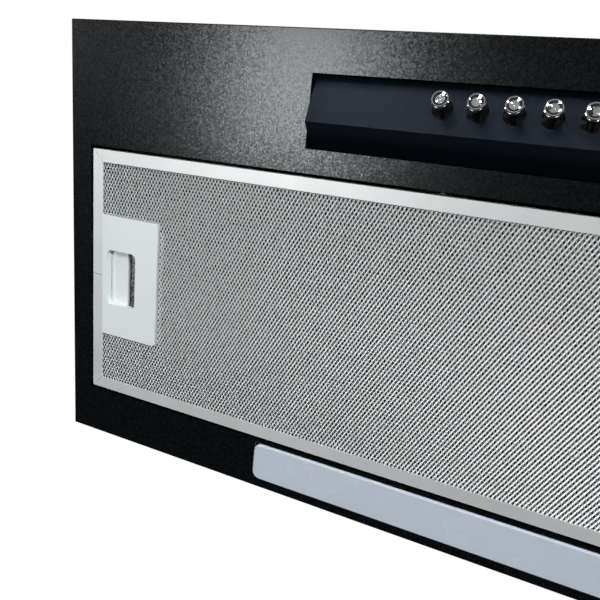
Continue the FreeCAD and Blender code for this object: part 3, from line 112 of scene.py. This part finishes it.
def mix_colours(tree, factor, first, second):
    """The first colour where the factor is 0 and the second where it is 1."""
    node = tree.nodes.new("ShaderNodeMix")
    node.data_type = "RGBA"
    tree.links.new(factor, node.inputs["Factor"])
    for name, colour in (("A", first), ("B", second)):
        target = next(socket for socket in node.inputs if socket.name == name and socket.type == "RGBA")
        target.default_value = (*colour, 1.0)
    return next(socket for socket in node.outputs if socket.type == "RGBA")


def bump(tree, shader, height, depth):
    """Relief of `depth` metres where the height is 1."""
    node = tree.nodes.new("ShaderNodeBump")
    node.inputs["Strength"].default_value = 1.0
    node.inputs["Distance"].default_value = depth
    tree.links.new(height, node.inputs["Height"])
    tree.links.new(node.outputs["Normal"], shader.inputs["Normal"])


EVEN = (1.0, 1.0, 1.0)
NOISE_LOW, NOISE_HIGH = 0.3, 0.7  # most of a noise's values lie between these


def grained(name, dark, light, roughness, metallic, patch, grain, depth, along=EVEN, **constants):
    """A finish with slow patches of colour and roughness, and a fine surface grain of `depth` metres. The
    grain is compressed by the three factors of `along`. The constants are further shader inputs."""
    material, tree, shader, vector = new_material(name)
    slow = noise(tree, vector, patch, 3.0)
    fine = noise(tree, stretch(tree, vector, along), grain, 2.0)
    tree.links.new(mix_colours(tree, slow, dark, light), shader.inputs["Base Color"])
    rough = remap(tree, slow, NOISE_LOW, NOISE_HIGH, *roughness)
    tree.links.new(rough, shader.inputs["Roughness"])
    shader.inputs["Metallic"].default_value = metallic
    for socket, number in constants.items():
        shader.inputs[socket.replace("_", " ")].default_value = number
    bump(tree, shader, fine, depth)
    return material


# ---- finishes --------------------------------------------------------------------------------------

def flaked(name, size, tilt, dark, light, roughness, tint):
    """A coat of fine pimples: each cell is tipped its own way and has its own shade and gloss. Half of the
    cells are dark, and the others run from dark to light."""
    material, tree, shader, vector = new_material(name)
    flakes = cells(tree, vector, size, "Color")
    centred = tree.nodes.new("ShaderNodeVectorMath")
    centred.operation = "SUBTRACT"
    mean_colour = (0.5, 0.5, 0.5)
    centred.inputs[1].default_value = mean_colour
    scaled = tree.nodes.new("ShaderNodeVectorMath")
    scaled.operation = "SCALE"
    scaled.inputs["Scale"].default_value = tilt
    tipped = tree.nodes.new("ShaderNodeVectorMath")
    tipped.operation = "ADD"
    unit = tree.nodes.new("ShaderNodeVectorMath")
    unit.operation = "NORMALIZE"
    surface = tree.nodes.new("ShaderNodeNewGeometry")
    tree.links.new(flakes, centred.inputs[0])
    tree.links.new(centred.outputs["Vector"], scaled.inputs[0])
    tree.links.new(surface.outputs["Normal"], tipped.inputs[0])
    tree.links.new(scaled.outputs["Vector"], tipped.inputs[1])
    tree.links.new(tipped.outputs["Vector"], unit.inputs[0])
    tree.links.new(unit.outputs["Vector"], shader.inputs["Normal"])
    split = tree.nodes.new("ShaderNodeSeparateColor")
    tree.links.new(flakes, split.inputs["Color"])
    lit = remap(tree, split.outputs["Red"], 0.5, 1.0, 0.0, 1.0)
    tree.links.new(mix_colours(tree, lit, dark, light), shader.inputs["Base Color"])
    tree.links.new(remap(tree, split.outputs["Green"], 0.0, 1.0, *roughness), shader.inputs["Roughness"])
    shader.inputs["Specular Tint"].default_value = (*tint, 1.0)
    return material


def powder_coat():
    """Black powder coat with a cool sheen and a fine, even grain."""
    return flaked("powder_coat", 0.85 * MM, 0.065, (0.0004, 0.0009, 0.0014), (0.006, 0.008, 0.010),
                  (0.21, 0.31), (0.93, 0.98, 1.0))


def painted_shade_coat():
    """The panel's coat with painted shade: a dim colour, a grey specular tint and a dull gloss stand for the
    shade the rests lie in, deep in the filter opening.
    """
    return flaked("painted_shade_coat", 0.85 * MM, 0.15, (0.0010, 0.0012, 0.0014), (0.003, 0.003, 0.004),
                  (0.75, 0.9), (0.3, 0.3, 0.3))


def satin_bar():
    """Satin black with a trace of blue, for the control bar."""
    return flaked("satin_bar", 0.9 * MM, 0.05, (0.0014, 0.0024, 0.0052), (0.0028, 0.0042, 0.0088),
                  (0.30, 0.38), (0.62, 0.76, 1.0))


def rolled_aluminium():
    """Satin rolled strip: a bright matt metal with a faint even grain."""
    return grained("rolled_aluminium", (0.74, 0.77, 0.77), (0.81, 0.84, 0.84), (0.46, 0.54), metallic=0.4,
                   patch=25 * MM, grain=0.5 * MM, depth=0.012 * MM)


def expanded_aluminium():
    """Bright strands of expanded sheet, a little uneven from strand to strand."""
    return grained("expanded_aluminium", (0.74, 0.76, 0.77), (0.92, 0.94, 0.95), (0.43, 0.53), metallic=0.72,
                   patch=2.4 * MM, grain=0.5 * MM, depth=0.03 * MM)


def layered_mesh():
    """The layers behind the outer sheet, with painted shade: dull strands dimmed for the shade they lie in,
    over gaps painted near black for the shade inside the hood.
    """
    material, tree, shader, vector = new_material("layered_mesh")
    cell_shape = (1.7, 1.0, 0.2)
    gap_edge, strand_edge = 0.35, 0.55
    # painted shade: near-black gaps and dimmed strands stand for the shade behind the outer sheet
    gap_painted_shade, strand_shaded_colour = (0.03, 0.03, 0.03), (0.34, 0.35, 0.35)
    gaps = cells(tree, stretch(tree, vector, cell_shape), 2.2 * MM, "Distance")
    strand = remap(tree, gaps, gap_edge, strand_edge, 0.0, 1.0)
    shade = mix_colours(tree, strand, gap_painted_shade, strand_shaded_colour)
    tree.links.new(shade, shader.inputs["Base Color"])
    shader.inputs["Metallic"].default_value = 0.6
    shader.inputs["Roughness"].default_value = 0.55
    bump(tree, shader, gaps, 0.4 * MM)
    return material


def moulded_white():
    """White moulded plastic with a barely uneven gloss."""
    return grained("moulded_white", (0.80, 0.84, 0.84), (0.84, 0.87, 0.87), (0.36, 0.44), metallic=0.0,
                   patch=40 * MM, grain=0.7 * MM, depth=0.004 * MM, Subsurface_Weight=0.05)


def chrome():
    """Plated chrome with a barely uneven shine."""
    return grained("chrome", (0.80, 0.81, 0.82), (0.88, 0.89, 0.90), (0.06, 0.12), metallic=1.0, patch=4 * MM,
                   grain=0.3 * MM, depth=0.002 * MM)


def milky():
    """Milky polycarbonate of the lamp cover."""
    return grained("milky", (0.58, 0.64, 0.73), (0.64, 0.70, 0.78), (0.22, 0.30), metallic=0.0,
                   patch=35 * MM, grain=1.2 * MM, depth=0.006 * MM,
                   Subsurface_Weight=0.35, Subsurface_Scale=0.004)


FINISHES = {
    "black_powder_coat": powder_coat(),
    "bar_black": satin_bar(),
    "filter_aluminium": rolled_aluminium(),
    "mesh_aluminium": layered_mesh(),
    "handle_white": moulded_white(),
    "chrome_cap": chrome(),
    "milky_lens": milky(),
}

# The other slots' finishes: dark colour, light colour, roughness range, then metallic, patch size,
# grain size, relief and, where the grain runs one way, its three factors.
PLAIN_FINISHES = {
    "spring_steel": ((0.42, 0.43, 0.45), (0.55, 0.56, 0.58), (0.25, 0.4),
                     1.0, 3 * MM, 0.2 * MM, 0.004 * MM),
    "zinc_steel": ((0.42, 0.44, 0.46), (0.66, 0.68, 0.70), (0.32, 0.52),
                   1.0, 6 * MM, 1.5 * MM, 0.010 * MM),
    "circuit_board": ((0.60, 0.62, 0.58), (0.72, 0.74, 0.70), (0.35, 0.5),
                      0.0, 8 * MM, 0.6 * MM, 0.02 * MM),
    "lamp_chip": ((0.78, 0.58, 0.14), (0.90, 0.72, 0.22), (0.35, 0.5),
                  0.0, 1.5 * MM, 0.3 * MM, 0.02 * MM),
    "black_plastic": ((0.012, 0.012, 0.013), (0.022, 0.022, 0.024), (0.42, 0.58),
                      0.0, 15 * MM, 0.6 * MM, 0.05 * MM),
    "driver_case": ((0.68, 0.68, 0.66), (0.76, 0.76, 0.74), (0.4, 0.55),
                    0.0, 18 * MM, 0.7 * MM, 0.03 * MM),
    "laminated_steel": ((0.16, 0.16, 0.17), (0.34, 0.34, 0.35), (0.35, 0.55),
                        1.0, 5 * MM, 1.2 * MM, 0.12 * MM, (0.05, 0.05, 1.6)),
    "copper_winding": ((0.55, 0.20, 0.07), (0.78, 0.34, 0.14), (0.22, 0.38),
                       1.0, 3 * MM, 1.0 * MM, 0.25 * MM, (0.12, 0.12, 1.4)),
    "bright_steel": ((0.58, 0.58, 0.60), (0.74, 0.74, 0.76), (0.18, 0.32),
                     1.0, 6 * MM, 0.3 * MM, 0.004 * MM, (0.2, 0.2, 3.0)),
    "capacitor_can": ((0.62, 0.63, 0.64), (0.76, 0.77, 0.78), (0.3, 0.45),
                      1.0, 14 * MM, 0.4 * MM, 0.008 * MM, (0.15, 1.0, 1.0)),
    "grommet_rubber": ((0.010, 0.010, 0.010), (0.024, 0.024, 0.024), (0.6, 0.8),
                       0.0, 4 * MM, 0.5 * MM, 0.04 * MM),
    "screw_steel": ((0.45, 0.45, 0.46), (0.62, 0.62, 0.63), (0.25, 0.42),
                    1.0, 3 * MM, 0.3 * MM, 0.006 * MM),
    "terminal_white": ((0.66, 0.66, 0.63), (0.74, 0.74, 0.70), (0.35, 0.5),
                       0.0, 9 * MM, 0.5 * MM, 0.015 * MM),
}
for slot, values in PLAIN_FINISHES.items():
    FINISHES[slot] = grained(slot, *values)

slot_of = {part["node"]: part["material_slot"] for part in frame["record"]["subparts"]}


def finish_node(node, slot):
    """Puts a slot's finish on a CAD node."""
    piece = frame["nodes"][node]
    piece.data.materials.clear()
    piece.data.materials.append(FINISHES[slot])


for node, slot in slot_of.items():
    finish_node(node, slot)
# the rests take the coat with painted shade, for the shade deep in the filter opening
frame["nodes"]["filter_rests"].data.materials[0] = painted_shade_coat()


# ---- expanded sheet --------------------------------------------------------------------------------

CELL_ACROSS = 2.615 * MM
CELL_ALONG = 4.74 * MM
STRAND_WIDTH = 0.95 * MM
STRAND_THICKNESS = 0.22 * MM
STRAND_TILT = math.radians(-25)
BOND_RISE = 0.2 * MM  # turns to the right stand this far above the middle plane, the others below it


def expanded_sheet(name, low, high, hole_low, hole_high):
    """Raised expanded metal in the box from low to high, with a hole. It has one zigzag ribbon per column of
    strands, all tilted the same way about Y, and each touches its neighbours at every other turn.

    Known fault: a ribbon that zigzags across the hole's right side isn't cut there. It is run on straight to
    the level of the hole's lower or upper side, which leaves long stray strands."""
    half_across, half_along = CELL_ACROSS / 2, CELL_ALONG / 2
    columns = int((high.x - low.x - STRAND_WIDTH) / half_across)
    turns = int((high.y - low.y) / half_along)
    across = np.array((math.cos(STRAND_TILT), 0, math.sin(STRAND_TILT))) * STRAND_WIDTH / 2
    through = np.array((-math.sin(STRAND_TILT), 0, math.cos(STRAND_TILT))) * STRAND_THICKNESS / 2
    section = [across + through, -across + through, -across - through, across - through]
    start_x = (low.x + high.x - columns * half_across) / 2
    middle_z = (low.z + high.z) / 2
    vertices = []
    faces = []
    for column in range(columns):
        run = []
        for turn in range(turns + 1):
            right = (column + turn) % 2
            point = (start_x + (column + right) * half_across, low.y + turn * half_along,
                     middle_z + (2 * right - 1) * BOND_RISE)
            inside = hole_low.x < point[0] < hole_high.x and hole_low.y < point[1] < hole_high.y
            if inside and run:
                run.append(ends_at(run[-1], point, hole_low.y))
            if run and (inside or turn == turns):
                add_ribbon(vertices, faces, run, section)
                run = []
            if not inside:
                if not run and turn and last_inside:
                    run.append(ends_at(point, last, hole_high.y))
                run.append(point)
            last, last_inside = point, inside
    mesh = bpy.data.meshes.new(name)
    mesh.from_pydata(vertices, [], faces)
    mesh.validate()
    sheet = bpy.data.objects.new(name, mesh)
    bpy.context.scene.collection.objects.link(sheet)
    return sheet


def ends_at(kept, lost, y):
    """Where the line through a kept point and a lost one crosses the line at y."""
    share = (y - kept[1]) / (lost[1] - kept[1])
    return tuple(a + (b - a) * share for a, b in zip(kept, lost))


def add_ribbon(vertices, faces, run, section):
    """A closed bar with the given section along the run of points."""
    if len(run) < 2:
        return
    first = len(vertices)
    sides = len(section)
    for point in run:
        vertices.extend(tuple(np.array(point) + corner) for corner in section)
    for step in range(len(run) - 1):
        base = first + step * sides
        for side in range(sides):
            after = (side + 1) % sides
            faces.append((base + side, base + after, base + sides + after, base + sides + side))
    faces.append(tuple(first + side for side in reversed(range(sides))))
    last = first + (len(run) - 1) * sides
    faces.append(tuple(last + side for side in range(sides)))


outer_low, outer_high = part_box("filter_mesh_outer")
handle_low, handle_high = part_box("filter_handle")
past_the_edge = Vector((1, 0, 0))
sheet = expanded_sheet("expanded_sheet", outer_low, outer_high, handle_low - past_the_edge, handle_high)
sheet.data.materials.append(expanded_aluminium())
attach(sheet, "filter")
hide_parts("filter_mesh_outer")


# ---- springs ---------------------------------------------------------------------------------------

BUTTON_COUNT = 5


def working_spring(node, body):
    """A copy of a spring on the given body, in place of the hidden CAD node."""
    spring = bpy.data.objects.new("working_" + node, frame["nodes"][node].data.copy())
    bpy.context.scene.collection.objects.link(spring)
    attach(spring, body)
    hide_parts(node)
    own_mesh(spring)


for number in range(1, BUTTON_COUNT + 1):
    working_spring(f"button_spring_{number}", "casing")
working_spring("latch_springs", "filter")


# ---- stage, lights and camera ----------------------------------------------------------------------

def area_light(name, place, target, size, power):
    """A soft rectangular light at `place`, facing `target`, that isn't itself seen."""
    data = bpy.data.lights.new(name, "AREA")
    data.shape = "RECTANGLE"
    data.size, data.size_y = size
    data.energy = power
    light = bpy.data.objects.new(name, data)
    light.location = place
    aim = Vector(target) - Vector(place)
    light.rotation_mode = "QUATERNION"
    light.rotation_quaternion = aim.to_track_quat("-Z", "Y")
    light.visible_camera = False
    bpy.context.scene.collection.objects.link(light)


def daylight():
    """An even soft light from high above, for the floor and the top of the hood."""
    spread = math.radians(40)
    lean_back, lean_right = math.radians(-12), math.radians(14)
    data = bpy.data.lights.new("daylight", "SUN")
    data.energy = 2.6
    data.angle = spread
    light = bpy.data.objects.new("daylight", data)
    light.rotation_euler = (lean_back, lean_right, 0.0)
    bpy.context.scene.collection.objects.link(light)


def studio_world():
    """White where the camera sees it, and a dim cool grey for the light it sheds."""
    seen_strength, shed_strength = 1.0, 0.03
    world = bpy.data.worlds.new("studio")
    world.use_nodes = True
    tree = world.node_tree
    tree.nodes.clear()
    output = tree.nodes.new("ShaderNodeOutputWorld")
    seen = tree.nodes.new("ShaderNodeBackground")
    shed = tree.nodes.new("ShaderNodeBackground")
    mix = tree.nodes.new("ShaderNodeMixShader")
    path = tree.nodes.new("ShaderNodeLightPath")
    seen.inputs["Color"].default_value = (1.0, 1.0, 1.0, 1.0)
    seen.inputs["Strength"].default_value = seen_strength
    shed.inputs["Color"].default_value = (0.92, 0.96, 1.0, 1.0)
    shed.inputs["Strength"].default_value = shed_strength
    tree.links.new(path.outputs["Is Camera Ray"], mix.inputs["Fac"])
    tree.links.new(shed.outputs["Background"], mix.inputs[1])
    tree.links.new(seen.outputs["Background"], mix.inputs[2])
    tree.links.new(mix.outputs["Shader"], output.inputs["Surface"])
    bpy.context.scene.world = world


def floor():
    """Pale floor below the hood, kept out of the hood's reflections and of its bounced light."""
    half = 40.0
    level = -1.5
    corners = [(-half, -half, level), (half, -half, level), (half, half, level), (-half, half, level)]
    mesh = bpy.data.meshes.new("floor")
    mesh.from_pydata(corners, [], [(0, 1, 2, 3)])
    slab = bpy.data.objects.new("floor", mesh)
    bpy.context.scene.collection.objects.link(slab)
    slab.visible_glossy = False
    slab.visible_diffuse = False
    mesh.materials.append(grained("floor_paint", (0.78, 0.78, 0.77), (0.84, 0.84, 0.83), (0.6, 0.7),
                                  metallic=0.0, patch=0.4, grain=0.01, depth=0.1 * MM))


UNDERSIDE_MIDDLE = (0.0, 0.0, -0.14)
BAR_SIDE = (0.0, -0.12, -0.15)
LEFT_OF_MIDDLE = (-0.05, 0.0, -0.14)
SPOT_SIZE, SPOT_POWER = (0.05, 0.05), 0.15
REAR_TARGET, REAR_SIZE, REAR_POWER = (0.0, 0.1, -0.05), (2.0, 1.6), 60.0

# name, place, target, width and height, power in watts
LIGHTS = (
    ("sheen", (-0.48, -0.17, -0.94), (-0.12, -0.12, -0.14), (0.30, 0.26), 2.9),
    ("key", (1.6, -1.07, -1.40), UNDERSIDE_MIDDLE, (0.54, 0.54), 54.0),
    ("front_card", (-0.28, -0.98, -0.86), (-0.02, -0.12, -0.15), (1.0, 0.75), 0.6),
    ("front_fill", (-0.45, -1.05, -0.42), LEFT_OF_MIDDLE, (0.5, 0.3), 2.5),
    ("left_card", (-2.2, -0.6, -1.2), LEFT_OF_MIDDLE, (0.7, 0.6), 8.0),
    ("spot", (-0.42, -0.86, -0.80), BAR_SIDE, SPOT_SIZE, SPOT_POWER),
    ("spot", (-0.10, -1.02, -0.72), BAR_SIDE, SPOT_SIZE, SPOT_POWER),
    ("spot", (-0.20, -0.66, -0.98), BAR_SIDE, SPOT_SIZE, SPOT_POWER),
    ("spot", (0.12, -0.80, -0.92), BAR_SIDE, SPOT_SIZE, SPOT_POWER),
    ("overhead", (0.4, -0.9, 1.3), (0.0, 0.0, -0.05), (1.4, 1.0), 26.0),
    ("rear", (-1.6, 2.4, 0.7), REAR_TARGET, REAR_SIZE, REAR_POWER),
    ("rear", (1.6, 2.4, 0.7), REAR_TARGET, REAR_SIZE, REAR_POWER),
)

studio_world()
floor()
for light in LIGHTS:
    area_light(*light)
daylight()

# the camera's place and its three axes
CAMERA_PLACE = (0.03403, -0.10166, -0.48641)
CAMERA_RIGHT = (0.90770, -0.09663, 0.40834)
CAMERA_UP = (-0.20058, -0.95466, 0.21997)
CAMERA_BACK = (0.36857, -0.28157, -0.88593)

camera_data = bpy.data.cameras.new("camera")
camera_data.sensor_width = 36.0
camera_data.lens = 36.35
camera_data.clip_start = 0.01
camera = bpy.data.objects.new("camera", camera_data)
bpy.context.scene.collection.objects.link(camera)
turn = Matrix((CAMERA_RIGHT, CAMERA_UP, CAMERA_BACK)).transposed().to_4x4()
camera.matrix_world = Matrix.Translation(CAMERA_PLACE) @ turn
bpy.context.scene.camera = camera
bpy.context.scene.view_settings.view_transform = "Standard"
